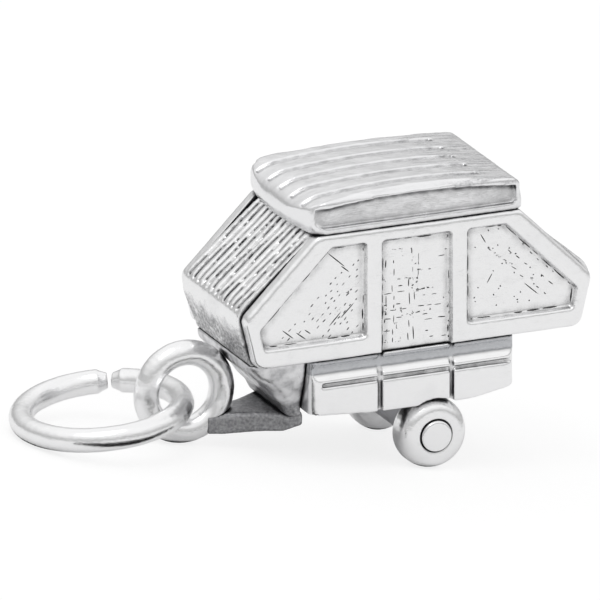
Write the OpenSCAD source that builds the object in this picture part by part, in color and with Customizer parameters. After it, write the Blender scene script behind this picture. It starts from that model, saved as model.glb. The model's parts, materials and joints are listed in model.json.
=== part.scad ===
// A bracelet charm in the shape of a folding camper trailer, opened for the night.
// Everything is drawn level, with the hitch at -X, the left side at -Y and z = 0 at the sills of the tent.
// rested() then tips it onto its wheels and its hanging loop, nose down, as it lies on a table.

/* [Tent] */
// Width over the two side plates
tent_w = 7.1; // [6.4:0.1:9]
// Height of a side plate above its sill
plate_h = 5.53; // [4.6:0.1:7]
// Length of a side plate along its top
top_l = 9.24; // [8:0.1:10.5]
// Length of a side plate at its shoulders
shoulder_l = 15.85; // [15:0.05:18]
// Height of the shoulders above the sill
shoulder_h = 2.25; // [1.8:0.05:3]
// Length of a side plate along its sill
sill_l = 14.8; // [14:0.05:15.4]
// Thickness of a side plate
plate_t = 0.6; // [0.5:0.05:0.8]
// Radius of the corners of a side plate
plate_r = 0.5; // [0.3:0.05:0.6]
// Rounding of the outer edge of a side plate
plate_edge = 0.16; // [0.08:0.02:0.24]

/* [Windows and door] */
// Depth of the windows and the door in a side plate
pocket_d = 0.26; // [0.1:0.02:0.34]
// Slope of the walls of the windows and the door, measured across
pocket_draft = 0.12; // [0.04:0.02:0.2]
// Radius of the corners of the windows and the door
pocket_r = 0.2; // [0.1:0.02:0.3]
// Height of the frame above the windows and the door
head_bar = 0.5; // [0.35:0.05:0.7]
// Width of the frame along the slopes
slope_bar = 0.8; // [0.6:0.02:1]
// Width of the frame below the shoulders
end_bar = 0.5; // [0.4:0.05:0.8]
// Height of the frame below the windows
sill_bar = 0.8; // [0.6:0.02:1.1]
// Width of the two posts beside the door
post_w = 0.62; // [0.5:0.05:0.9]
// Width of the door
door_w = 3.27; // [2.6:0.05:3.8]
// Place of the middle of the door behind the middle of the tent
door_x = -0.1; // [-0.5:0.05:0.5]

/* [Canvas] */
// How far the canvas lies below the edge of the side plates at the roof
canvas_in = 0.2; // [0.1:0.05:0.3]
// How far it would stand past that edge at the shoulders, if its corner weren't rounded
canvas_out = 0.34; // [0.1:0.02:0.5]
// Wall of the canvas and of the roof
canvas_t = 0.9; // [0.7:0.05:1.1]
// Radius of the canvas over the shoulders
canvas_r = 1.1; // [0.6:0.05:1.4]
// Number of pleats across each end
pleats = 12; // [8:1:14]
// Width of a carved pleat line
pleat_w = 0.24; // [0.14:0.02:0.3]
// Depth of a carved pleat line
pleat_d = 0.11; // [0.06:0.01:0.16]

/* [Roof] */
// How far each side of the roof lies inside the outer face of the side plate
roof_in = 0.125; // [0.05:0.005:0.3]
// Length of the roof
roof_l = 9.88; // [9.5:0.02:10.2]
// How far the roof reaches forward of the middle of the tent
roof_front = 4.98; // [4.8:0.02:5.2]
// Height of the roof at its two ends
roof_h = 1.32; // [1.1:0.05:1.6]
// Rise of the roof between its ends
roof_crown = 0.33; // [0.1:0.01:0.5]
// How far the top of its rear end lies ahead of the foot
roof_rake = 0.28; // [0.1:0.02:0.4]
// Bow of its front end, seen from above
roof_bow = 0.42; // [0.2:0.02:0.6]
// Radius of the front of the roof, seen from the side
roof_nose_r = 1.05; // [0.8:0.05:1.2]
// Radius of the rear of the roof, seen from the side
roof_tail_r = 0.38; // [0.2:0.02:0.6]
// Radius of the corners of the roof, seen from above
roof_corner_r = 0.6; // [0.3:0.05:0.9]
// Radius of the long edges of the roof
roof_edge_r = 0.42; // [0.2:0.02:0.5]
// Number of grooves along the roof
roof_grooves = 5; // [3:1:6]
// Distance between two grooves
groove_pitch = 1.2; // [0.9:0.02:1.24]
// Width of a groove
groove_w = 0.34; // [0.2:0.02:0.44]
// Depth of a groove
groove_d = 0.12; // [0.06:0.01:0.18]
// Angle through which the grooves turn down over the front
groove_turn = 42; // [20:1:60]
// Depth of the long panel in each side of the roof
panel_d = 0.16; // [0.08:0.02:0.24]
// Raised rim around that panel
panel_rim = 0.28; // [0.2:0.02:0.34]

/* [Tub] */
// Length of the tub
tub_l = 9.35; // [8.8:0.05:9.8]
// How far each side of the tub lies inside the outer face of the side plate
tub_in = 0.1; // [0.05:0.01:0.3]
// Height of the tub at the wheels
tub_h = 2.58; // [2.4:0.02:2.9]
// Place of the middle of the tub ahead of the middle of the tent
tub_ahead = 0.22; // [0:0.02:0.4]
// How far the lower edge of the tub rises to its front end
tub_rise = 0.2; // [0.05:0.01:0.3]
// How far that edge rises to its rear end
tail_rise = 0.36; // [0.1:0.02:0.5]
// Radius of the bends in its lower edge, seen from the side
keel_r = 5; // [3:0.5:8]
// Wall of the tub
tub_t = 0.8; // [0.6:0.05:0.9]
// Radius of the corners of the tub, seen from above
tub_r = 0.5; // [0.3:0.05:0.8]
// Depth of the belt groove below the sill
belt_z = 1.1; // [0.95:0.01:1.3]
// Width of the belt groove and of the two door lines
belt_w = 0.2; // [0.1:0.02:0.3]
// Depth of the belt groove
belt_d = 0.14; // [0.08:0.01:0.2]
// Depth of the cove above the belt groove, and of the two door lines
cove_d = 0.2; // [0.1:0.01:0.26]
// Height of the flat edges above and below that cove
cove_edge = 0.12; // [0.06:0.01:0.2]
// Thickness of the floor of the tent
floor_t = 0.7; // [0.5:0.05:0.9]

/* [Axle and wheels] */
// Outer diameter of a wheel
wheel_d = 3.08; // [2.8:0.02:3.4]
// Thickness of a wheel at its tread
wheel_t = 1.3; // [1.1:0.05:1.4]
// Rounding of the inner edge of a wheel
wheel_edge = 0.24; // [0.1:0.02:0.4]
// Width of the rounded outer shoulder of a wheel
wheel_shoulder = 0.5; // [0.3:0.02:0.6]
// Depth of that shoulder along the axle
wheel_dome = 0.7; // [0.4:0.05:0.8]
// How far the outer face of a wheel lies inside that of the side plate
wheel_inset = 0.13; // [0.05:0.01:0.3]
// Place of the axle behind the middle of the tent
axle_x = 0.83; // [0:0.05:1.2]
// Depth of the axle below the sill
axle_drop = 4.01; // [3.9:0.01:4.2]
// Diameter of the axle
axle_d = 0.9; // [0.7:0.05:1.1]
// Diameter of the raised head on each end of the axle
head_d = 1.36; // [1.2:0.02:1.6]
// Thickness of such a head
head_t = 0.26; // [0.2:0.02:0.34]
// Rounding of the edge of such a head
head_edge = 0.1; // [0.04:0.01:0.16]
// Free play around the axle and at the faces of a wheel
wheel_play = 0.04; // [0.02:0.01:0.08]
// Gap between a wheel and the arch above it
arch_gap = 0.12; // [0.1:0.01:0.2]
// Thickness of the bearer that carries the axle
bearer_t = 1.5; // [1.3:0.05:1.8]

/* [Hitch] */
// Place of the hanging loop ahead of the middle of the tent
bail_x = 9.22; // [9.1:0.02:9.6]
// Depth of the hanging loop below the sill
bail_drop = 1.74; // [1.6:0.02:1.9]
// Outer diameter of the hanging loop
bail_d = 4.5; // [4.3:0.02:4.6]
// Wire of the hanging loop
bail_wire = 1.08; // [0.9:0.02:1.2]
// Depth of the top of the drawbar below the sill
bar_top = 2.73; // [2.66:0.01:2.8]
// Height of the drawbar
bar_h = 0.92; // [0.8:0.02:1]
// Width of the drawbar at the hanging loop
bar_tip_w = 1.16; // [0.9:0.02:1.4]
// How far the drawbar reaches under the tub
bar_seat = 0.3; // [0.1:0.05:0.6]
// Radius of the upright corners of the nose below the tent
belly_r = 0.4; // [0.2:0.05:0.6]
// Width of the drawbar at the tub
bar_root_w = 3.7; // [3:0.05:4.2]

/* [Jump ring] */
// Outer diameter of the jump ring
ring_d = 7.8; // [7:0.1:10]
// Wire of the jump ring
ring_wire = 1.04; // [0.7:0.02:1.1]
// Cut between the two ends of the wire
ring_cut = 0.22; // [0.1:0.02:0.4]
// Place of the cut, turned from the hitch towards the right side
ring_cut_at = 61; // [30:1:300]
// Length over which each end of the wire tapers to the cut
ring_taper = 0.4; // [0.2:0.05:0.6]
// Small step all round where that taper begins
ring_step = 0.03; // [0.01:0.01:0.06]
// Thickness of the wire at the cut
ring_tip_d = 0.66; // [0.4:0.02:0.8]
// How far ahead of the middle of the hanging loop the jump ring hangs in it
ring_ahead = 0.38; // [0.1:0.02:0.5]

/* [Hidden] */
$fn = 48;
silver = [0.86, 0.86, 0.87];
dark_silver = [0.6, 0.6, 0.62];
// A cutter reaches this far past what it cuts
past = 1;
corner_steps = 5;
arc_steps = 8;

side_y = tent_w / 2 - plate_t;
roof_w = tent_w - 2 * roof_in;
tub_w = tent_w - 2 * tub_in;
wheel_faces = tent_w - 2 * wheel_inset;
plate_outline = [[-sill_l / 2, 0], [sill_l / 2, 0], [shoulder_l / 2, shoulder_h], [top_l / 2, plate_h],
                 [-top_l / 2, plate_h], [-shoulder_l / 2, shoulder_h]];
glass = moved_in(plate_outline, [sill_bar, end_bar, slope_bar, head_bar, slope_bar, end_bar]);
canvas_top = top_l / 2 - canvas_in;
canvas_shoulder = shoulder_l / 2 + canvas_out;
canvas_outline = [[-sill_l / 2, 0], [sill_l / 2, 0], [canvas_shoulder, shoulder_h], [canvas_top, plate_h],
                  [-canvas_top, plate_h], [-canvas_shoulder, shoulder_h]];
slope_tilt = atan2(plate_h - shoulder_h, canvas_shoulder - canvas_top);
slope_run = norm([plate_h - shoulder_h, canvas_shoulder - canvas_top]);
pleat_pitch = 2 * side_y / (pleats + 0.5);

// The crown of the roof and its round front are two arcs that run into each other
roof_back = roof_l - roof_front;
roof_top = plate_h + roof_h;
roof_run = roof_l - roof_rake;
crown_r = (pow(roof_run / 2, 2) + pow(roof_crown, 2)) / (2 * roof_crown);
crown_at = [roof_run / 2 - roof_front, roof_top + roof_crown - crown_r];
crown_start = 90 - asin(roof_run / 2 / crown_r) * 0.9;
nose_x = roof_nose_r - roof_front;
nose_at = [nose_x, crown_at[1] + sqrt(pow(crown_r - roof_nose_r, 2) - pow(nose_x - crown_at[0], 2))];
nose_start = atan2(nose_at[1] - crown_at[1], nose_at[0] - crown_at[0]);
bow_r = (pow(roof_w / 2, 2) + pow(roof_bow, 2)) / (2 * roof_bow);

tub_front = -tub_l / 2 - tub_ahead;
tub_back = tub_l / 2 - tub_ahead;
cavity_w = tub_w - 2 * tub_t;
cavity_plan = box_outline(tub_front + tub_t, tub_back - tub_t, -cavity_w / 2, cavity_w / 2);
wheel_r = wheel_d / 2;
wheel_in = wheel_faces / 2 - wheel_t;
arch_r = wheel_r + arch_gap;
bail_r = (bail_d - bail_wire) / 2;
ring_r = (ring_d - ring_wire) / 2;

// The charm lies on its wheels and on the hanging loop: the line under both gives its pitch
reach = axle_x + bail_x;
fall = axle_drop - bail_drop;
pitch = atan2(fall, reach) + asin((wheel_r - bail_d / 2) / norm([reach, fall]));
lift = wheel_r + axle_drop * cos(pitch) - axle_x * sin(pitch);
function tipped(x, z) = [x * cos(pitch) - z * sin(pitch), x * sin(pitch) + z * cos(pitch) + lift];
// The jump ring turns about this point inside the loop, and its far end lies on the table
hinge = tipped(-bail_x - ring_ahead, -bail_drop);
ring_tilt = asin((hinge[1] - ring_wire / 2) / (2 * ring_r));
tail_x = max([for (p = corner_arc(canvas_outline[1], canvas_outline[2], canvas_outline[3], canvas_r))
                  tipped(p[0], p[1])[0]]);
tip_x = hinge[0] - 2 * ring_r * cos(ring_tilt) - ring_wire / 2;
centre_x = (tail_x + tip_x) / 2;

// Outlines: corners rounded by arcs, edges moved inwards, and sections joined into a solid
function unit(v) = v / norm(v);
function arc(centre, r, from, to) =
    [for (i = [1:arc_steps]) let (a = from + (to - from) * i / arc_steps) centre + r * [cos(a), sin(a)]];
function corner_arc(a, b, c, r) =
    let (u = unit(a - b), v = unit(c - b), half = acos(u * v) / 2,
         m = b + unit(u + v) * r / sin(half),
         p = b + u * r / tan(half) - m,
         q = b + v * r / tan(half) - m,
         s = atan2(p[1], p[0]),
         turn = (atan2(q[1], q[0]) - s + 540) % 360 - 180)
    [for (i = [0:corner_steps]) m + r * [cos(s + turn * i / corner_steps), sin(s + turn * i / corner_steps)]];
function rounded(pts, r) =
    let (n = len(pts))
    [for (i = [0:n - 1]) each corner_arc(pts[(i + n - 1) % n], pts[i], pts[(i + 1) % n],
                                         is_list(r) ? r[i] : r)];
function meet(a, b, c, d) = a + (b - a) * cross(c - a, d - c) / cross(b - a, d - c);
function moved_in(pts, d) =
    let (n = len(pts),
         rows = [for (i = [0:n - 1])
                    let (p = pts[i], q = pts[(i + 1) % n], k = is_list(d) ? d[i] : d,
                         inward = unit([p[1] - q[1], q[0] - p[0]]) * k)
                    [p + inward, q + inward]])
    [for (i = [0:n - 1]) let (e = rows[(i + n - 1) % n], f = rows[i]) meet(e[0], e[1], f[0], f[1])];
function box_outline(x0, x1, z0, z1) = [[x0, z0], [x1, z0], [x1, z1], [x0, z1]];
function at_height(pts, z) = [for (p = pts) [p[0], p[1], z]];

module loft(sections) {
    n = len(sections[0]);
    last = len(sections) - 1;
    polyhedron(points = [for (s = sections) each s],
               faces = [[for (j = [0:n - 1]) j],
                        for (k = [0:last - 1]) for (j = [0:n - 1])
                            [k * n + (j + 1) % n, k * n + j, (k + 1) * n + j, (k + 1) * n + (j + 1) % n],
                        [for (j = [n - 1:-1:0]) last * n + j]]);
}

// An outline of x and z, given a width in y
module across(outline, w) {
    translate([0, w / 2, 0]) rotate([90, 0, 0]) linear_extrude(w) polygon(outline);
}

module rested() {
    translate([-centre_x, 0, lift]) rotate([0, -pitch, 0]) children();
}

module both_sides() {
    children();
    mirror([0, 1, 0]) children();
}

// One side plate, its inner face at z = 0 and its outline in x and y
module side_plate() {
    ahead = door_x - door_w / 2 - post_w;
    behind = door_x + door_w / 2 + post_w;
    head = plate_h - head_bar;
    openings = [[glass[0], [ahead, sill_bar], [ahead, head], glass[4], glass[5]],
                [[behind, sill_bar], glass[1], glass[2], glass[3], [behind, head]],
                box_outline(door_x - door_w / 2, door_x + door_w / 2, -past, head)];
    difference() {
        loft([for (step = [[0, 0], [plate_t - plate_edge, 0], [plate_t - 0.3 * plate_edge, 0.3 * plate_edge],
                           [plate_t, plate_edge]])
                 at_height(rounded(moved_in(plate_outline, step[1]), plate_r), step[0])]);
        // The walls of the windows and the door slope
        for (outline = openings)
            loft([for (step = [-1, 1])
                     at_height(rounded(moved_in(outline, -step * pocket_draft), pocket_r + step * pocket_draft / 2),
                               plate_t + step * pocket_d)]);
    }
}

module left_side() {
    color(silver) rested() translate([0, -side_y, 0]) rotate([90, 0, 0]) side_plate();
}

module right_side() {
    color(silver) rested() mirror([0, 1, 0]) translate([0, -side_y, 0]) rotate([90, 0, 0]) side_plate();
}

// The canvas of the front end: a thick sheet over the slope, the shoulder and the wall below it
module canvas() {
    inner = moved_in(canvas_outline, [-past, canvas_t, canvas_t, -past, canvas_t, canvas_t]);
    line_r = (pow(pleat_w / 2, 2) + pow(pleat_d, 2)) / (2 * pleat_d);
    difference() {
        across([canvas_outline[0], [0, 0], [0, plate_h], canvas_outline[4],
                each corner_arc(canvas_outline[4], canvas_outline[5], canvas_outline[0], canvas_r)],
               2 * side_y);
        across(inner, 2 * side_y + past);
        for (k = [0:pleats - 1])
            translate([-canvas_top, (k - (pleats - 1) / 2) * pleat_pitch, plate_h])
                rotate([0, -slope_tilt, 0])
                    translate([-slope_run - past, 0, line_r - pleat_d])
                        rotate([0, 90, 0]) cylinder(r = line_r, h = slope_run + 3 * past);
    }
}

module front_canvas() {
    color(silver) rested() canvas();
}

module rear_canvas() {
    color(silver) rested() mirror([1, 0, 0]) canvas();
}

// The roof: its side view, its plan and its end view, crossed
module roof() {
    function bow_x(y) = bow_r - roof_front - sqrt(pow(bow_r, 2) - pow(y, 2));
    // A line along the crown and down over the front, this far above the roof
    function skin(h) = [each arc(crown_at, crown_r + h, crown_start, nose_start),
                        each arc(nose_at, roof_nose_r + h, nose_start, nose_start + groove_turn)];
    half = roof_w / 2;
    bow_y = half - 2 * roof_corner_r;
    tail = [roof_back - roof_rake, roof_top];
    crown_point = crown_at + crown_r * [cos(crown_start), sin(crown_start)];
    side = [[-roof_front, plate_h], [roof_back, plate_h],
            each corner_arc([roof_back, plate_h], tail, crown_point, roof_tail_r), crown_point,
            each arc(crown_at, crown_r, crown_start, nose_start), each arc(nose_at, roof_nose_r, nose_start, 180)];
    plan = [each corner_arc([0, -half], [roof_back, -half], [roof_back, 0], roof_corner_r),
            each corner_arc([roof_back, 0], [roof_back, half], [0, half], roof_corner_r),
            each corner_arc([0, half], [bow_x(half), half], [bow_x(bow_y), bow_y], roof_corner_r),
            for (i = [0:arc_steps]) let (y = bow_y * (1 - 2 * i / arc_steps)) [bow_x(y), y],
            each corner_arc([bow_x(bow_y), -bow_y], [bow_x(half), -half], [0, -half], roof_corner_r)];
    end = [[-half, plate_h], [half, plate_h],
           each corner_arc([half, plate_h], [half, roof_top + roof_crown], [0, roof_top + roof_crown], roof_edge_r),
           each corner_arc([0, roof_top + roof_crown], [-half, roof_top + roof_crown], [-half, plate_h], roof_edge_r)];
    groove_floor = skin(-groove_d);
    panel = rounded(box_outline(bow_x(half) + panel_rim / 2, roof_back - roof_rake - panel_rim / 2,
                                plate_h + panel_rim, roof_top + roof_crown), panel_rim);
    color(silver) rested() difference() {
        intersection() {
            across(side, roof_w);
            linear_extrude(roof_top + 2 * roof_crown) polygon(plan);
            translate([-roof_l, 0, 0]) rotate([90, 0, 90]) linear_extrude(2 * roof_l) polygon(end);
        }
        // The grooves follow the crown and turn down over the front
        for (k = [0:roof_grooves - 1])
            translate([0, (k - (roof_grooves - 1) / 2) * groove_pitch, 0])
                across([each skin(past), for (i = [len(groove_floor) - 1:-1:0]) groove_floor[i]], groove_w);
        // The long panels in the sides
        both_sides()
            intersection() {
                translate([0, -half + panel_d, 0]) rotate([90, 0, 0]) linear_extrude(past) polygon(panel);
                translate([crown_at[0], 0, crown_at[1]]) rotate([90, 0, 0])
                    cylinder(r = crown_r - panel_rim, h = roof_w, $fn = 180);
            }
        // The hollow below
        translate([-top_l / 2 + canvas_t, -side_y + canvas_t / 2, plate_h - past])
            cube([top_l - 2 * canvas_t, 2 * side_y - canvas_t, past + roof_h + roof_crown - canvas_t]);
    }
}

module tent_floor() {
    inner = moved_in(canvas_outline, [0, canvas_t, canvas_t, 0, canvas_t, canvas_t]);
    color(dark_silver) rested() difference() {
        intersection() {
            across(inner, 2 * side_y);
            translate([-shoulder_l, -side_y, 0]) cube([2 * shoulder_l, 2 * side_y, floor_t]);
        }
        translate([0, 0, -past]) linear_extrude(floor_t + 2 * past) polygon(cavity_plan);
    }
}

module tub() {
    keel = [[tub_front, tub_rise - tub_h], [door_x - door_w / 2, -tub_h], [axle_x + wheel_r, -tub_h],
            [tub_back, tail_rise - tub_h]];
    plan = rounded(box_outline(tub_front, tub_back, -tub_w / 2, tub_w / 2), tub_r);
    cove_h = belt_z - belt_w / 2 - 2 * cove_edge;
    cove_r = (pow(cove_h / 2, 2) + pow(cove_d, 2)) / (2 * cove_d);
    color(silver) rested() difference() {
        intersection() {
            across([[tub_front, 0], keel[0], each corner_arc(keel[0], keel[1], keel[2], keel_r),
                    each corner_arc(keel[1], keel[2], keel[3], keel_r), keel[3], [tub_back, 0]], tub_w);
            translate([0, 0, -tub_h]) linear_extrude(tub_h) polygon(plan);
        }
        translate([0, 0, -tub_h - past]) linear_extrude(tub_h + 2 * past) polygon(cavity_plan);
        both_sides() {
            // The cove above the belt groove
            translate([tub_front - past, -tub_w / 2 - cove_r + cove_d, -cove_edge - cove_h / 2])
                rotate([0, 90, 0]) cylinder(r = cove_r, h = tub_l + 2 * past);
            // The belt groove
            translate([tub_front + tub_r, -tub_w / 2 - past, -belt_z - belt_w / 2])
                cube([tub_l - tub_r + past, past + belt_d, belt_w]);
            // The two lines that carry the door's edges on down
            for (x = [door_x - door_w / 2, door_x + door_w / 2])
                translate([x - belt_w / 2, -tub_w / 2 - past, -tub_h - past])
                    cube([belt_w, past + cove_d, tub_h + 2 * past]);
            // The arch over the wheel
            translate([axle_x, -wheel_in + wheel_play, -axle_drop]) rotate([90, 0, 0])
                cylinder(r = arch_r, h = tent_w);
        }
    }
}

// The scooped nose between the tent, the tub and the drawbar
module front_belly() {
    overhang = sill_l / 2 + tub_front;
    // Columns: share of the depth, of the tent's overhang and of its half width
    rows = [[0, 1.04, 1], [0.12, 1.02, 0.98], [0.25, 0.9, 0.96], [0.4, 0.68, 0.92], [0.56, 0.52, 0.87],
            [0.7, 0.42, 0.82], [0.85, 0.28, 0.78], [1, 0.2, 0.76]];
    color(silver) rested() difference() {
        loft([for (i = [len(rows) - 1:-1:0])
                 let (x = tub_front - rows[i][1] * overhang, y = rows[i][2] * side_y)
                 at_height([each corner_arc([tub_front, -y], [x, -y], [x, 0], belly_r),
                            each corner_arc([x, 0], [x, y], [tub_front, y], belly_r), [tub_front, y], [tub_front, -y]],
                           -rows[i][0] * bar_top)]);
        bail_shape();
    }
}

module bail_shape() {
    translate([-bail_x, 0, -bail_drop]) rotate([90, 0, 0])
        rotate_extrude() translate([bail_r, 0]) circle(d = bail_wire, $fn = 32);
}

module drawbar() {
    root = tub_front + bar_seat;
    tip = -bail_x + bail_r / 2;
    // Columns: share of the way to the tip, of the widening to the root, of the height, softness of the edges
    rows = [[0, 1, 0.65, 0.2], [0.2, 0.88, 0.92, 0.26], [0.5, 0.37, 1, 0.3], [0.8, 0.09, 1.08, 0.34],
            [1, 0, 1, 0.34]];
    color(silver) rested() difference() {
        loft([for (r = rows)
                 let (w = bar_tip_w + r[1] * (bar_root_w - bar_tip_w), h = r[2] * bar_h)
                 [for (p = rounded(box_outline(-w / 2, w / 2, -bar_top - h, -bar_top), r[3]))
                     [root + r[0] * (tip - root), p[0], p[1]]]]);
        bail_shape();
    }
}

module hanging_loop() {
    color(silver) rested() bail_shape();
}

module axle_bearer() {
    foot_r = bearer_t / 2;
    arch_z = axle_drop - arch_r;
    color(dark_silver) rested() difference() {
        union() {
            translate([axle_x - foot_r, -cavity_w / 2, -arch_z]) cube([bearer_t, cavity_w, arch_z - belt_z]);
            translate([axle_x - foot_r, -wheel_in + wheel_play, -axle_drop])
                cube([bearer_t, 2 * (wheel_in - wheel_play), arch_r]);
            translate([axle_x, wheel_in - wheel_play, -axle_drop]) rotate([90, 0, 0])
                cylinder(r = foot_r, h = 2 * (wheel_in - wheel_play));
        }
        translate([axle_x, wheel_in, -axle_drop]) rotate([90, 0, 0]) cylinder(d = axle_d, h = 2 * wheel_in);
    }
}

module axle() {
    head_in = wheel_faces / 2 - head_t / 2;
    color(silver) rested() translate([axle_x, 0, -axle_drop]) rotate([90, 0, 0]) {
        cylinder(d = axle_d, h = 2 * head_in, center = true);
        for (end = [0, 180])
            rotate([end, 0, 0]) translate([0, 0, head_in]) rotate_extrude()
                polygon([[0, 0], [head_d / 2, 0],
                         each corner_arc([head_d / 2, 0], [head_d / 2, head_t], [0, head_t], head_edge),
                         [0, head_t]]);
    }
}

// A wheel on its own axis, its outer face at z = 0
module wheel() {
    seat = head_t / 2 + wheel_play;
    seat_r = head_d / 2 + wheel_play;
    bore_r = axle_d / 2 + wheel_play;
    rotate_extrude()
        polygon([[bore_r, -wheel_t],
                 each corner_arc([bore_r, -wheel_t], [wheel_r, -wheel_t], [wheel_r, 0], wheel_edge),
                 [wheel_r, -wheel_dome],
                 for (a = [10:10:90])
                     [wheel_r - wheel_shoulder * (1 - cos(a)), -wheel_dome * (1 - sin(a))],
                 [seat_r + wheel_play, 0], [seat_r, -wheel_play], [seat_r, -seat], [bore_r, -seat]]);
}

module left_wheel() {
    color(silver) rested() translate([axle_x, -wheel_faces / 2, -axle_drop]) rotate([90, 0, 0]) wheel();
}

module right_wheel() {
    color(silver) rested() translate([axle_x, wheel_faces / 2, -axle_drop]) rotate([-90, 0, 0]) wheel();
}

// The ring is open at one place, and both ends of its wire taper to the cut
module jump_ring() {
    half_cut = (ring_cut / 2 + ring_taper) / ring_r * 180 / PI;
    color(silver) translate([hinge[0] - centre_x, 0, hinge[1]]) rotate([0, -ring_tilt, 0])
        translate([-ring_r, 0, 0]) rotate([0, 0, ring_cut_at]) {
            rotate([0, 0, half_cut]) rotate_extrude(angle = 360 - 2 * half_cut, $fn = 96)
                translate([ring_r, 0]) circle(d = ring_wire, $fn = 32);
            for (end = [-1, 1])
                rotate([0, 0, end * half_cut]) translate([ring_r, 0, 0]) rotate([end * 90, 0, 0])
                    cylinder(d1 = ring_wire - 2 * ring_step, d2 = ring_tip_d, h = ring_taper, $fn = 32);
        }
}

left_side();
right_side();
front_canvas();
rear_canvas();
roof();
tent_floor();
tub();
front_belly();
drawbar();
hanging_loop();
axle_bearer();
axle();
left_wheel();
right_wheel();
jump_ring();
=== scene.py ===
"""A silver bracelet charm shaped as a folding camper trailer, resting on a white table."""

import json
import math
import random

import bmesh
import bpy
from mathutils import Matrix, Vector


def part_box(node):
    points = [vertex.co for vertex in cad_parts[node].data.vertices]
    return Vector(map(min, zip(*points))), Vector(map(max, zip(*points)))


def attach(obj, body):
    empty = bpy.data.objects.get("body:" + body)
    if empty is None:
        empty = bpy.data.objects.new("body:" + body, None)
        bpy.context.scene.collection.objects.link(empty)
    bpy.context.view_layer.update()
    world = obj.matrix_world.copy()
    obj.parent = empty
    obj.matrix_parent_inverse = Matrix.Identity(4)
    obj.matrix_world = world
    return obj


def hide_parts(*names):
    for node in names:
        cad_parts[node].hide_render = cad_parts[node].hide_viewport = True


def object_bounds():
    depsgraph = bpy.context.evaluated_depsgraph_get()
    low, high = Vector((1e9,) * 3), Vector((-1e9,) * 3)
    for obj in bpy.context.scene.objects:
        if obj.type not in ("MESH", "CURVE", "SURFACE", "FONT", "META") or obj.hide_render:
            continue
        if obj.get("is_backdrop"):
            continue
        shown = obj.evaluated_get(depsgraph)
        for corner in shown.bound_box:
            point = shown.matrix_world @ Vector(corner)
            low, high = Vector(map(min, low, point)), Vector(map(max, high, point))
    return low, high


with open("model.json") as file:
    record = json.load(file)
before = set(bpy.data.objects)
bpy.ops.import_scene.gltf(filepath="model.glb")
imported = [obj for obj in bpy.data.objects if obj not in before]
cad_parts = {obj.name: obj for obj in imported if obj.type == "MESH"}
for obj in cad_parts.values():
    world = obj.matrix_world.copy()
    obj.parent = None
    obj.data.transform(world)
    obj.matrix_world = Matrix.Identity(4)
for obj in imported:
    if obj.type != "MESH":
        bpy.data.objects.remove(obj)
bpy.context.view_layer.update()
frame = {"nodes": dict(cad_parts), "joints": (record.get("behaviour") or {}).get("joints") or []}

MM = 0.001

# Where the trailer's own level axes lie: z = 0 at the sills of the tent, x = 0 at the tent's middle
AXLE_X = 0.83
AXLE_DROP = 4.01
LOOP_X = 9.22
LOOP_DROP = 1.74


def joint(name):
    return next(j for j in frame["joints"] if j["name"] == name)


def middle(node):
    low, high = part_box(node)
    return (Vector(low) + Vector(high)) / 2


# The line from the axle to the hanging loop tells how far the nose hangs down
axle_at = Vector(joint("left_wheel_turn")["pos_m"])
to_loop = middle("hanging_loop") - axle_at
NOSE_DOWN = math.atan2(AXLE_DROP - LOOP_DROP, AXLE_X + LOOP_X) - math.atan2(to_loop.z, -to_loop.x)
TURN = Matrix.Rotation(-NOSE_DOWN, 4, "Y")
LEVEL = Matrix.Translation(axle_at - TURN @ Vector((AXLE_X, 0, -AXLE_DROP)) * MM) @ TURN @ Matrix.Scale(MM, 4)

# The camera stands to the left of the hitch and above it; its view is measured in the level axes
AZIMUTH = math.radians(-23.3)
ELEVATION = math.radians(18.8)
DISTANCE = 900.0
FRAME_WIDTH = 25.2
LOOK_RIGHT = -3.608
LOOK_UP = 0.997
SENSOR = 36.0


def make_camera():
    right = Vector((math.cos(AZIMUTH), math.sin(AZIMUTH), 0))
    back = Vector((math.sin(AZIMUTH) * math.cos(ELEVATION),
                   -math.cos(AZIMUTH) * math.cos(ELEVATION), math.sin(ELEVATION)))
    up = back.cross(right)
    place = Matrix((right, up, back)).transposed().to_4x4()
    place.translation = right * LOOK_RIGHT + up * LOOK_UP + back * DISTANCE
    data = bpy.data.cameras.new("camera")
    data.sensor_width = SENSOR
    data.lens = SENSOR * DISTANCE / FRAME_WIDTH
    data.clip_start = 0.01
    data.clip_end = 10
    camera = bpy.data.objects.new("camera", data)
    camera.matrix_world = (LEVEL @ place) @ Matrix.Scale(1 / MM, 4)
    bpy.context.collection.objects.link(camera)
    bpy.context.scene.camera = camera


make_camera()


def node_group(material):
    """The nodes of a material, and a short way to add and link one."""
    tree = material.node_tree

    def add(kind, **values):
        node = tree.nodes.new(kind)
        for key, value in values.items():
            if key in node.inputs:
                socket = node.inputs[key]
                if isinstance(value, bpy.types.NodeSocket):
                    tree.links.new(value, socket)
                else:
                    socket.default_value = value
            else:
                setattr(node, key, value)
        return node
    return tree, add


def ramp(node, stops):
    elements = node.color_ramp.elements
    while len(elements) > 1:
        elements.remove(elements[-1])
    for i, (place, value) in enumerate(stops):
        stop = elements[0] if i == 0 else elements.new(place)
        stop.position = place
        stop.color = (value, value, value, 1)
    return node


def choose(*pieces):
    bpy.ops.object.select_all(action="DESELECT")
    for piece in pieces:
        piece.select_set(True)
    bpy.context.view_layer.objects.active = pieces[0]


def modify(piece, kind, **settings):
    choose(piece)
    modifier = piece.modifiers.new(kind.lower(), kind)
    for key, value in settings.items():
        setattr(modifier, key, value)
    bpy.ops.object.modifier_apply(modifier=modifier.name)


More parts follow.
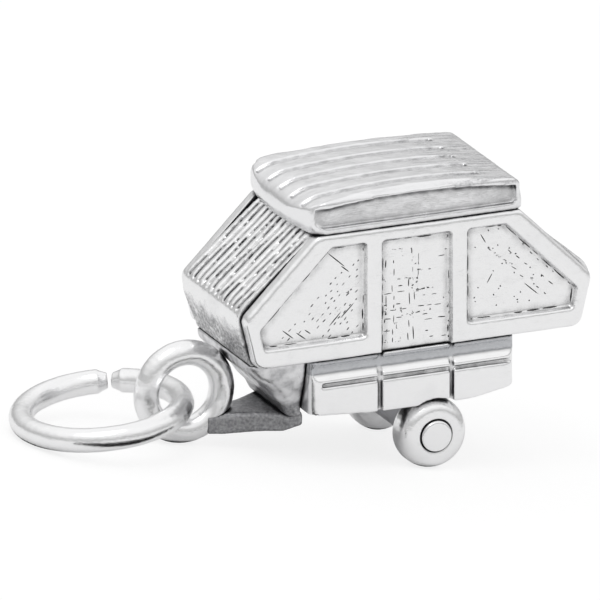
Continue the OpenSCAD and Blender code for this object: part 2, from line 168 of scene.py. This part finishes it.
def pick(piece, test):
    """Open a piece in edit mode with only the vertices selected that pass the test."""
    choose(piece)
    bpy.ops.object.mode_set(mode="EDIT")
    bpy.ops.mesh.select_mode(type="VERT")
    bpy.ops.mesh.select_all(action="DESELECT")
    mesh = bmesh.from_edit_mesh(piece.data)
    for vert in mesh.verts:
        vert.select = test(vert.co)
    mesh.select_flush(True)
    bmesh.update_edit_mesh(piece.data)


def leave():
    bpy.ops.object.mode_set(mode="OBJECT")


def push(piece, test, value, size):
    """Push a soft bulge into a piece round the vertices that pass the test."""
    pick(piece, test)
    bpy.ops.transform.translate(value=value, use_proportional_edit=True,
                                proportional_edit_falloff="SMOOTH", proportional_size=size)
    leave()


def own_copy(node, name):
    """A copy of a solid in millimetres and in the level axes, its loose triangles joined."""
    piece = bpy.data.objects.new(name, frame["nodes"][node].data.copy())
    bpy.context.collection.objects.link(piece)
    piece.data.transform(LEVEL.inverted())
    choose(piece)
    bpy.ops.object.mode_set(mode="EDIT")
    bpy.ops.mesh.select_all(action="SELECT")
    bpy.ops.mesh.remove_doubles(threshold=0.0005)
    leave()
    piece.data.materials.clear()
    return piece


cast_skin = bpy.data.textures.new("cast skin", "CLOUDS")
cast_skin.noise_scale = 0.9
cast_skin.noise_depth = 2


def as_cast(piece, voxel, rounds, uneven=0.03):
    """Round every edge of a piece as casting and tumbling do, and leave its faces a little uneven."""
    modify(piece, "REMESH", mode="VOXEL", voxel_size=voxel)
    modify(piece, "SMOOTH", factor=0.5, iterations=rounds)
    modify(piece, "DISPLACE", texture=cast_skin, texture_coords="LOCAL", strength=uneven, mid_level=0.5)


def thin_out(piece, ratio):
    modify(piece, "DECIMATE", decimate_type="COLLAPSE", ratio=ratio)


def mirrored(piece, name, axis):
    """A mirror image of a piece, with a mesh of its own and its faces turned outwards again."""
    twin = bpy.data.objects.new(name, piece.data.copy())
    bpy.context.collection.objects.link(twin)
    twin.data.transform(Matrix.Scale(-1, 4, axis))
    twin.data.flip_normals()
    return twin


def settle(piece, body, slot, materials, *nodes):
    """Put a finished piece into the frame, in metres, shade it smooth and attach it to its body, hiding the solids that
    it replaces.
    """
    piece.data.transform(LEVEL)
    if len(piece.data.materials) == 0:
        for material in materials:
            piece.data.materials.append(material)
    choose(piece)
    bpy.ops.object.shade_smooth_by_angle(angle=math.radians(40))
    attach(piece, body)
    if nodes:
        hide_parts(*nodes)


# Silver: everything is in the trailer's level axes and in millimetres
def level_axes(add):
    place = add("ShaderNodeTexCoord").outputs["Object"]
    back = LEVEL.inverted()
    turned = add("ShaderNodeMapping", vector_type="POINT", Vector=place, Scale=(1 / MM,) * 3,
                 Rotation=back.to_euler(), Location=back.translation)
    return turned.outputs[0]


def noise(add, place, scale, detail=3.0, stretch=(1, 1, 1), roughness=0.5):
    stretched = add("ShaderNodeMapping", Vector=place, Scale=stretch)
    return add("ShaderNodeTexNoise", Vector=stretched.outputs[0], Scale=scale, Detail=detail,
               Roughness=roughness).outputs["Fac"]


def mask(add, value, low, high):
    """0 below the first value and 1 above the second; the other way round where the first is larger."""
    return add("ShaderNodeMapRange", Value=value, interpolation_type="SMOOTHSTEP", **{
        "From Min": min(low, high), "From Max": max(low, high),
        "To Min": 0.0 if low < high else 1.0, "To Max": 1.0 if low < high else 0.0}).outputs[0]


def both(add, a, b, operation="MULTIPLY"):
    node = add("ShaderNodeMath", operation=operation)
    for socket, value in zip(node.inputs, (a, b)):
        if isinstance(value, (int, float)):
            socket.default_value = value
        else:
            node.id_data.links.new(value, socket)
    return node.outputs[0]


def blend(add, share, a, b):
    node = add("ShaderNodeMix", data_type="RGBA")
    for socket, value in ((node.inputs[0], share), (node.inputs[6], a), (node.inputs[7], b)):
        if isinstance(value, tuple):
            socket.default_value = value
        elif isinstance(value, float):
            socket.default_value = value
        else:
            node.id_data.links.new(value, socket)
    return node.outputs[2]


def silver(name, bright=(0.93, 0.93, 0.935, 1), dull=(0.6, 0.6, 0.61, 1), rough=0.17, patches=None, cast=0.0,
           recess=0.24, film=(0.74, 0.36), pitted=0.03, speckle=1.0):
    """Polished silver, darker and duller in its recesses, in patches that a buff doesn't reach, and in the painted
    shade and painted reflection that the tub and the nose get as patches.
    """
    material = bpy.data.materials.new(name)
    material.use_nodes = True
    tree, add = node_group(material)
    tree.nodes.clear()
    place = level_axes(add)
    # Oxide left in the recesses
    hollow = add("ShaderNodeAmbientOcclusion", samples=8, Distance=recess * MM)
    edge = both(add, hollow.outputs["AO"], both(add, noise(add, place, 2.2), 0.22), "SUBTRACT")
    oxide = mask(add, edge, *film)
    # Large soft patches and fine wear; the given patches also carry painted shade and painted reflection on the tub and
    # the nose
    cloud = noise(add, place, 0.7, 4.0)
    grain = noise(add, place, 9.0, 3.0)
    cover = mask(add, cloud, 0.52, 0.72)
    cover = both(add, cover, 0.1)
    if patches is not None:
        cover = both(add, cover, patches(add, place), "MAXIMUM")
    grains = both(add, both(add, mask(add, grain, 0.2, 0.75), speckle), 1 - speckle, "ADD")
    colour = blend(add, both(add, cover, grains), bright, dull)
    colour = blend(add, oxide, colour, (0.05, 0.05, 0.055, 1))
    roughness = both(add, both(add, grain, 0.1), rough, "ADD")
    roughness = both(add, roughness, both(add, cover, min(0.3, pitted * 10)), "ADD")
    roughness = both(add, roughness, both(add, oxide, 0.3), "ADD")
    # Waves of the casting, pits, and hair-fine marks of wear
    wave = both(add, noise(add, place, 1.3, 2.0), 0.03)
    pits = both(add, noise(add, place, 7.0, 3.0), both(add, both(add, cover, pitted), 0.002 + cast, "ADD"))
    hairs = both(add, noise(add, place, 3.0, 2.0, stretch=(1, 5, 14)), 0.004)
    height = both(add, both(add, wave, pits, "ADD"), hairs, "ADD")
    bump = add("ShaderNodeBump", Strength=1.0, Distance=MM, Height=height)
    shader = add("ShaderNodeBsdfPrincipled", Metallic=1.0, Roughness=roughness,
                 Normal=bump.outputs[0], **{"Base Color": colour})
    tree.links.new(shader.outputs[0], add("ShaderNodeOutputMaterial").inputs["Surface"])
    return material


def rough_front(add, place):
    """Below the shoulder the canvas is left rough, with ragged drips."""
    x, y, z = (add("ShaderNodeSeparateXYZ", Vector=place).outputs[i] for i in range(3))
    ragged = both(add, both(add, noise(add, place, 1.4, 4.0), 1.6), -0.8, "ADD")
    low = mask(add, both(add, z, ragged, "ADD"), 1.9, 1.0)
    return both(add, low, mask(add, noise(add, place, 2.6, 4.0), 0.2, 0.5))


def rough_nose_with_painted_shade(add, place):
    """The scooped nose is left as cast in rough patches, and painted shade makes it darkest low down, where it meets
    the drawbar.
    """
    x, y, z = (add("ShaderNodeSeparateXYZ", Vector=place).outputs[i] for i in range(3))
    ragged = both(add, both(add, noise(add, place, 1.6, 4.0), 1.2), -0.6, "ADD")
    # Painted shade: low down, where the nose meets the drawbar, the colour turns dull and dark
    foot = mask(add, both(add, z, ragged, "ADD"), -1.7, -2.3)
    return both(add, foot, both(add, mask(add, noise(add, place, 1.9, 4.0), 0.35, 0.7), 0.6), "MAXIMUM")


def painted_cove_reflection(add, place):
    """Under the sills the upper half of the cove is painted grey: a painted reflection of the shaded table below it."""
    x, y, z = (add("ShaderNodeSeparateXYZ", Vector=place).outputs[i] for i in range(3))
    return both(add, mask(add, z, -0.68, -0.6), mask(add, z, 0.02, -0.08))


def worn_roof(add, place):
    """Rough streaks run along the rear half of the roof."""
    x, y, z = (add("ShaderNodeSeparateXYZ", Vector=place).outputs[i] for i in range(3))
    streaks = mask(add, noise(add, place, 2.4, 4.0, stretch=(0.35, 2.2, 1)), 0.42, 0.62)
    rear = mask(add, both(add, x, both(add, noise(add, place, 0.8), 2.0), "ADD"), 1.2, 4.2)
    top = mask(add, z, 6.6, 6.8)
    return both(add, both(add, streaks, rear), top)


polished = silver("polished silver")
canvas_silver = silver("silver of the pleated canvas", dull=(0.2, 0.2, 0.21, 1), patches=rough_front)
# The tub's dull grey is mostly the painted reflection in the upper half of the cove
tub_silver = silver("silver of the tub", dull=(0.5, 0.51, 0.53, 1), patches=painted_cove_reflection, pitted=0.0, speckle=0.15,
                    film=(0.8, 0.42))
side_silver = silver("silver of the sides", recess=0.42, film=(0.84, 0.5))
wheel_silver = silver("silver of the wheels", recess=0.2, film=(0.6, 0.2))
nose_silver = silver("silver left as cast with painted shade", bright=(0.8, 0.8, 0.81, 1), dull=(0.25, 0.25, 0.26, 1),
                     patches=rough_nose_with_painted_shade, rough=0.24, cast=0.001, pitted=0.006, speckle=0.4)
roof_silver = silver("silver of the roof", bright=(0.9, 0.9, 0.91, 1), dull=(0.42, 0.42, 0.43, 1), patches=worn_roof,
                     recess=0.3, film=(0.88, 0.56), pitted=0.015)
engraved = silver("darkened engraving", bright=(0.6, 0.6, 0.61, 1), dull=(0.4, 0.4, 0.41, 1), rough=0.4,
                  recess=0.1, film=(0.7, 0.3))
inside = silver("darkened inside", bright=(0.5, 0.5, 0.52, 1), dull=(0.3, 0.3, 0.31, 1), rough=0.5, cast=0.003)

# Sizes that the pieces share with the solids
SIDE_FACE = 3.55
POCKET_D = 0.26
DOOR_X = -0.1
DOOR_W = 3.27
POST_W = 0.62
SILL_BAR = 0.8
HEAD_Z = 5.03
PLATE_H = 5.53
CANVAS_TOP = 4.42
CANVAS_SHOULDER = 8.265
SHOULDER_H = 2.25
SLOPE = math.atan2(PLATE_H - SHOULDER_H, CANVAS_SHOULDER - CANVAS_TOP)
SLOPE_RUN = math.hypot(PLATE_H - SHOULDER_H, CANVAS_SHOULDER - CANVAS_TOP)
PLEATS = 12
PLEAT_PITCH = 0.472
PLEAT_CUT = 0.3
PLEAT_RUN = SLOPE_RUN - 0.35


def gouge_marks(name, marks, face, depth):
    """All the engraved strokes of a side, as one cutter: (x, z, length, angle, width) in its face."""
    bpy.ops.object.select_all(action="DESELECT")
    bpy.ops.mesh.primitive_uv_sphere_add(segments=6, ring_count=4, radius=0.5)
    graver = bpy.context.object
    copies = []
    for x, z, length, angle, width in marks:
        mark = bpy.data.objects.new(name, graver.data.copy())
        bpy.context.collection.objects.link(mark)
        mark.data.transform(Matrix.Translation((x, face, z)) @ Matrix.Rotation(-angle, 4, "Y")
                            @ Matrix.Diagonal((length * 1.15, depth * 2, width * 0.85, 1)))
        copies.append(mark)
    bpy.data.objects.remove(graver)
    choose(*copies)
    bpy.ops.object.join()
    cutter = copies[0]
    cutter.name = name
    cutter.data.materials.clear()
    cutter.data.materials.append(engraved)
    return cutter


def front_window_marks(dice):
    """Short dashes in rows along the slope, staggered as bricks are, and longer lines low down at the rear."""
    marks = []
    along = math.radians(44)
    for row in range(15):
        off = 0.28 + row * 0.235
        step = -3.7 + (row % 2) * 0.17
        while step < 3.7:
            x = -5.35 + step * math.cos(along) + off * math.sin(along) * 0.98
            z = 2.35 + step * math.sin(along) - off * math.cos(along) * 0.98
            step += dice.uniform(0.3, 0.42)
            inside_x = -2.62 - x
            if not (SILL_BAR + 0.2 < z < HEAD_Z - 0.2 and inside_x > 0.06) or dice.random() < 0.28:
                continue
            if z - 0.72 * (x + 6.2) > 1.9:
                continue
            marks.append((x + dice.uniform(-0.03, 0.03), z + dice.uniform(-0.03, 0.03),
                          dice.uniform(0.09, 0.2), along + dice.uniform(-0.15, 0.15), dice.uniform(0.04, 0.065)))
    for x, z, length, angle in ((-3.5, 2.2, 1.0, 46), (-3.2, 2.05, 0.9, 44), (-3.75, 1.75, 0.8, 47), (-2.95, 3.0, 0.7, 45),
                                (-3.7, 4.35, 1.1, -42), (-3.3, 3.9, 0.5, -40), (-5.9, 1.35, 0.7, -40), (-5.3, 1.2, 0.6, -38),
                                (-5.0, 1.35, 0.35, -38)):
        marks.append((x, z, length, math.radians(angle), 0.06))
    return marks


def door_marks(dice):
    """Strokes laid as basket work: upright ones in columns, level ones between them."""
    marks = []
    left = DOOR_X - DOOR_W / 2
    for column, (at, tall) in enumerate(((0.28, 0.34), (0.62, 0.26), (1.0, 0.5), (1.35, 0.42), (1.55, 0.5))):
        z = 0.35
        while z < HEAD_Z - 0.45:
            length = tall * dice.uniform(0.6, 1.5)
            if dice.random() < 0.72:
                marks.append((left + at + dice.uniform(-0.05, 0.05), z + length / 2, length,
                              math.radians(90 + dice.uniform(-6, 6)), dice.uniform(0.04, 0.07)))
            z += length + dice.uniform(0.05, 0.3)
    for row in range(17):
        z = 0.4 + row * 0.27 + dice.uniform(-0.04, 0.04)
        x = left + 0.2
        while x < left + DOOR_W - 0.3:
            length = dice.uniform(0.12, 0.4)
            if dice.random() < (0.5 if 0.9 < z < 2.6 else 0.26):
                marks.append((x + length / 2, z + dice.uniform(-0.03, 0.03), length,
                              math.radians(dice.uniform(-5, 5)), dice.uniform(0.035, 0.06)))
            x += length + dice.uniform(0.08, 0.4)
    for x, z, length, angle in ((left + 2.3, 2.55, 1.5, 3), (left + 2.2, 1.55, 1.9, 2), (left + 1.75, 3.6, 1.5, 88),
                                (left + 1.5, 3.4, 1.7, 90), (left + 0.9, 4.45, 0.7, 0), (left + 0.75, 1.7, 1.5, 91)):
        marks.append((x, z, length, math.radians(angle), 0.07))
    return marks


def rear_window_marks(dice):
    """Loose slanting strokes and single dots."""
    marks = []
    for line in range(4):
        x, z = 3.0 + line * 0.9, 4.2 - line * 0.2
        for step in range(8):
            x += 0.36
            z -= 0.33
            if z < SILL_BAR + 0.2 or x > 6.3:
                break
            if dice.random() < 0.8:
                marks.append((x + dice.uniform(-0.06, 0.06), z + dice.uniform(-0.06, 0.06), dice.uniform(0.1, 0.34),
                              math.radians(-42 + dice.uniform(-8, 8)), dice.uniform(0.04, 0.06)))
    for dot in range(46):
        x, z = dice.uniform(2.55, 6.4), dice.uniform(SILL_BAR + 0.2, HEAD_Z - 0.3)
        if z + 0.86 * (x - 4.4) > 4.3:
            continue
        marks.append((x, z, dice.uniform(0.05, 0.1), dice.uniform(0, 3), dice.uniform(0.05, 0.08)))
    for x, z, length, angle in ((4.3, 3.05, 2.6, -40), (3.0, 4.4, 0.5, -60), (3.3, 2.6, 0.5, 60), (5.2, 1.9, 0.9, -42)):
        marks.append((x, z, length, math.radians(angle), 0.055))
    return marks


def edge_marks(dice):
    """Ragged dark lines along the feet of the pocket walls."""
    door = DOOR_W / 2 - 0.13
    front = ((-6.98, 0.93), (-2.49, 0.93), (-2.49, 4.9), (-3.95, 4.9), (-7.1, 1.76))
    rear = tuple((2 * DOOR_X - x, z) if x > -3 else (-x, z) for x, z in front)
    panel = ((DOOR_X - door, 0.1), (DOOR_X - door, 4.9), (DOOR_X + door, 4.9), (DOOR_X + door, 0.1))
    marks = []
    for outline, closed in ((front, True), (rear, True), (panel, False)):
        for i in range(len(outline) if closed else len(outline) - 1):
            start, end = Vector(outline[i]), Vector(outline[(i + 1) % len(outline)])
            run = end - start
            angle = math.atan2(run.y, run.x)
            at = 0.1
            while at < run.length - 0.25:
                length = min(dice.uniform(0.3, 0.9), run.length - 0.1 - at)
                spot = start + run * ((at + length / 2) / run.length)
                if dice.random() < 0.85:
                    marks.append((spot.x + dice.uniform(-0.02, 0.02), spot.y + dice.uniform(-0.02, 0.02), length,
                                  angle + dice.uniform(-0.03, 0.03), dice.uniform(0.05, 0.11)))
                at += length + dice.uniform(0.02, 0.16)
    return marks


def cut_out(piece, cutter, solver="FAST"):
    modify(piece, "BOOLEAN", object=cutter, operation="DIFFERENCE", solver=solver)
    bpy.data.objects.remove(cutter)


def make_sides():
    left = own_copy("left_side", "left_side_casting")
    as_cast(left, 0.055, 3)
    thin_out(left, 0.55)
    left.data.materials.append(side_silver)
    left.data.materials.append(engraved)
    dice = random.Random(4)
    marks = front_window_marks(dice) + door_marks(dice) + rear_window_marks(dice) + edge_marks(dice)
    cut_out(left, gouge_marks("window marks", marks, POCKET_D - SIDE_FACE, 0.06))
    right = mirrored(left, "right_side_casting", (0, 1, 0))
    settle(left, "trailer", "polished_silver", [side_silver], "left_side")
    settle(right, "trailer", "polished_silver", [side_silver], "right_side")


def make_canvas():
    front = own_copy("front_canvas", "front_canvas_casting")
    # A dark joint stays open between the canvas and each side plate
    front.data.transform(Matrix.Scale(0.972, 4, (0, 1, 0)))
    dice = random.Random(7)
    bpy.ops.object.select_all(action="DESELECT")
    blades = []
    for k in range(PLEATS):
        bpy.ops.mesh.primitive_cylinder_add(vertices=3, radius=PLEAT_CUT, depth=PLEAT_RUN)
        blade = bpy.context.object
        bpy.ops.object.mode_set(mode="EDIT")
        bpy.ops.mesh.subdivide(number_cuts=5)
        leave()
        # Each blade leans over and wanders a little, so that the pleats lap like folded cloth
        lean = math.radians(-90 + 14 + dice.uniform(-8, 8))
        blade.data.transform(Matrix.Diagonal((0.42, 1, 1, 1)) @ Matrix.Rotation(math.radians(90), 4, "Z"))
        blade.data.transform(Matrix.Rotation(math.radians(12), 4, "Z"))
        for vert in blade.data.vertices:
            vert.co.x += 0.035 * math.sin(vert.co.z * 2.1 + k * 1.7) + dice.uniform(-0.008, 0.008)
        blade.data.transform(Matrix.Rotation(math.radians(90), 4, "Z"))
        blade.data.transform(Matrix.Translation((-CANVAS_TOP - PLEAT_RUN * 0.5 * math.cos(SLOPE) + 0.05,
                                                 (k - (PLEATS - 1) / 2) * PLEAT_PITCH * 0.972,
                                                 PLATE_H - PLEAT_RUN * 0.5 * math.sin(SLOPE)))
                             @ Matrix.Rotation(math.pi / 2 - SLOPE, 4, "Y"))
        blades.append(blade)
    choose(*blades)
    bpy.ops.object.join()
    cut_out(front, blades[0], "EXACT")
    as_cast(front, 0.05, 2)
    rear = mirrored(front, "rear_canvas_casting", (1, 0, 0))
    for piece, node in ((front, "front_canvas"), (rear, "rear_canvas")):
        thin_out(piece, 0.6)
        settle(piece, "trailer", "polished_silver", [canvas_silver], node)


def make_roof():
    roof = own_copy("roof", "roof_casting")
    # The long panels lean inwards towards their top
    for side in (-1, 1):
        pick(roof, lambda p: p.z > 6.2 and 3.2 < side * p.y < 3.3)
        bpy.ops.transform.translate(value=(0, -side * 0.14, 0))
        leave()
    modify(roof, "REMESH", mode="VOXEL", voxel_size=0.05)
    push(roof, lambda p: p.x < -4.5 and 6.0 < p.z < 6.4, (-0.25, 0, 0), 0.8)
    modify(roof, "SMOOTH", factor=0.5, iterations=4)
    modify(roof, "DISPLACE", texture=cast_skin, texture_coords="LOCAL", strength=0.035, mid_level=0.5)
    thin_out(roof, 0.55)
    settle(roof, "trailer", "polished_silver", [roof_silver], "roof")


def make_tub():
    tub = own_copy("tub", "tub_casting")
    as_cast(tub, 0.055, 3)
    thin_out(tub, 0.55)
    settle(tub, "trailer", "polished_silver", [tub_silver], "tub")


def make_nose():
    belly = own_copy("front_belly", "front_belly_casting")
    as_cast(belly, 0.05, 8, 0.09)
    settle(belly, "trailer", "polished_silver", [nose_silver], "front_belly")
    bar = own_copy("drawbar", "drawbar_casting")
    as_cast(bar, 0.045, 8, 0.06)
    settle(bar, "trailer", "polished_silver", [nose_silver], "drawbar")


def make_loop():
    loop = own_copy("hanging_loop", "hanging_loop_casting")
    as_cast(loop, 0.045, 2, 0.03)
    settle(loop, "trailer", "polished_silver", [polished], "hanging_loop")


def make_wheels():
    left = own_copy("left_wheel", "left_wheel_casting")
    as_cast(left, 0.04, 3, 0.02)
    right = mirrored(left, "right_wheel_casting", (0, 1, 0))
    settle(left, "left_wheel", "polished_silver", [wheel_silver], "left_wheel")
    settle(right, "right_wheel", "polished_silver", [wheel_silver], "right_wheel")
    axle = own_copy("axle", "axle_casting")
    as_cast(axle, 0.035, 2, 0.01)
    settle(axle, "trailer", "polished_silver", [wheel_silver], "axle")


def make_ring():
    ring = own_copy("jump_ring", "jump_ring_wire")
    as_cast(ring, 0.05, 2, 0.02)
    settle(ring, "jump_ring", "polished_silver", [polished], "jump_ring")


make_sides()
make_canvas()
make_roof()
make_tub()
make_nose()
make_loop()
make_wheels()
make_ring()
for node in ("tent_floor", "axle_bearer"):
    frame["nodes"][node].data.materials.clear()
    frame["nodes"][node].data.materials.append(inside)


# The table, the white all round and the lamp
def make_table():
    bpy.ops.object.select_all(action="DESELECT")
    bpy.ops.mesh.primitive_plane_add(size=1.2)
    table = bpy.context.object
    table.name = "table"
    material = bpy.data.materials.new("white table")
    material.use_nodes = True
    tree, add = node_group(material)
    tree.nodes.clear()
    rays = add("ShaderNodeLightPath")
    matt = add("ShaderNodeBsdfDiffuse", Color=(0.85, 0.85, 0.86, 1))
    # The camera and reflections see a white that still takes the shadow
    seen = add("ShaderNodeAddShader")
    glow = add("ShaderNodeEmission", Strength=0.82)
    tree.links.new(glow.outputs[0], seen.inputs[0])
    tree.links.new(add("ShaderNodeBsdfDiffuse", Color=(0.2, 0.2, 0.2, 1)).outputs[0], seen.inputs[1])
    mirror = add("ShaderNodeAddShader")
    tree.links.new(add("ShaderNodeEmission", Strength=0.12).outputs[0], mirror.inputs[0])
    tree.links.new(add("ShaderNodeBsdfDiffuse", Color=(0.78, 0.78, 0.78, 1)).outputs[0], mirror.inputs[1])
    first = add("ShaderNodeMixShader", Fac=rays.outputs["Is Glossy Ray"])
    tree.links.new(matt.outputs[0], first.inputs[1])
    tree.links.new(mirror.outputs[0], first.inputs[2])
    last = add("ShaderNodeMixShader", Fac=rays.outputs["Is Camera Ray"])
    tree.links.new(first.outputs[0], last.inputs[1])
    tree.links.new(seen.outputs[0], last.inputs[2])
    tree.links.new(last.outputs[0], add("ShaderNodeOutputMaterial").inputs["Surface"])
    table.data.materials.append(material)
    table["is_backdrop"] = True


def make_world():
    """A soft white tent: grey at the horizon, white above."""
    world = bpy.data.worlds.new("light tent")
    bpy.context.scene.world = world
    world.use_nodes = True
    tree, add = node_group(world)
    tree.nodes.clear()
    z = add("ShaderNodeSeparateXYZ", Vector=add("ShaderNodeTexCoord").outputs["Generated"]).outputs[2]
    shade = ramp(add("ShaderNodeValToRGB", Fac=z),
                 ((0.0, 0.42), (0.12, 0.45), (0.24, 0.56), (0.4, 0.74), (0.7, 1.0), (1.0, 0.95)))
    tree.links.new(add("ShaderNodeBackground", Color=shade.outputs["Color"]).outputs[0],
                   add("ShaderNodeOutputWorld").inputs["Surface"])


def lamp(name, place, size, power, target=(0, 0, 0.006)):
    """A square soft lamp; its place is in metres."""
    data = bpy.data.lights.new(name, "AREA")
    data.shape = "SQUARE"
    data.size = size
    data.energy = power
    light = bpy.data.objects.new(name, data)
    away = Vector(place) - Vector(target)
    light.matrix_world = Matrix.Translation(place) @ away.to_track_quat("Z", "Y").to_matrix().to_4x4()
    bpy.context.collection.objects.link(light)


def make_painted_shadow_card():
    """A black card lying on the table in front of the ring and the loop, which only reflections see: a painted shadow
    in their reflections.
    """
    bpy.ops.object.select_all(action="DESELECT")
    bpy.ops.mesh.primitive_plane_add(size=1)
    card = bpy.context.object
    card.name = "dark_card"
    card.data.transform(Matrix.Translation((-0.0065, -0.0052, 0.00005)) @ Matrix.Diagonal((0.013, 0.0022, 1, 1)))
    material = bpy.data.materials.new("black card")
    material.use_nodes = True
    tree, add = node_group(material)
    tree.nodes.clear()
    tree.links.new(add("ShaderNodeBsdfDiffuse", Color=(0.01, 0.01, 0.01, 1)).outputs[0],
                   add("ShaderNodeOutputMaterial").inputs["Surface"])
    card.data.materials.append(material)
    card.visible_camera = card.visible_diffuse = card.visible_shadow = False
    card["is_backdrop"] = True


make_table()
make_world()
make_painted_shadow_card()
lamp("lamp above the front", (-0.12, -0.08, 0.3), 0.12, 0.12)
bpy.context.scene.view_settings.view_transform = "Standard"

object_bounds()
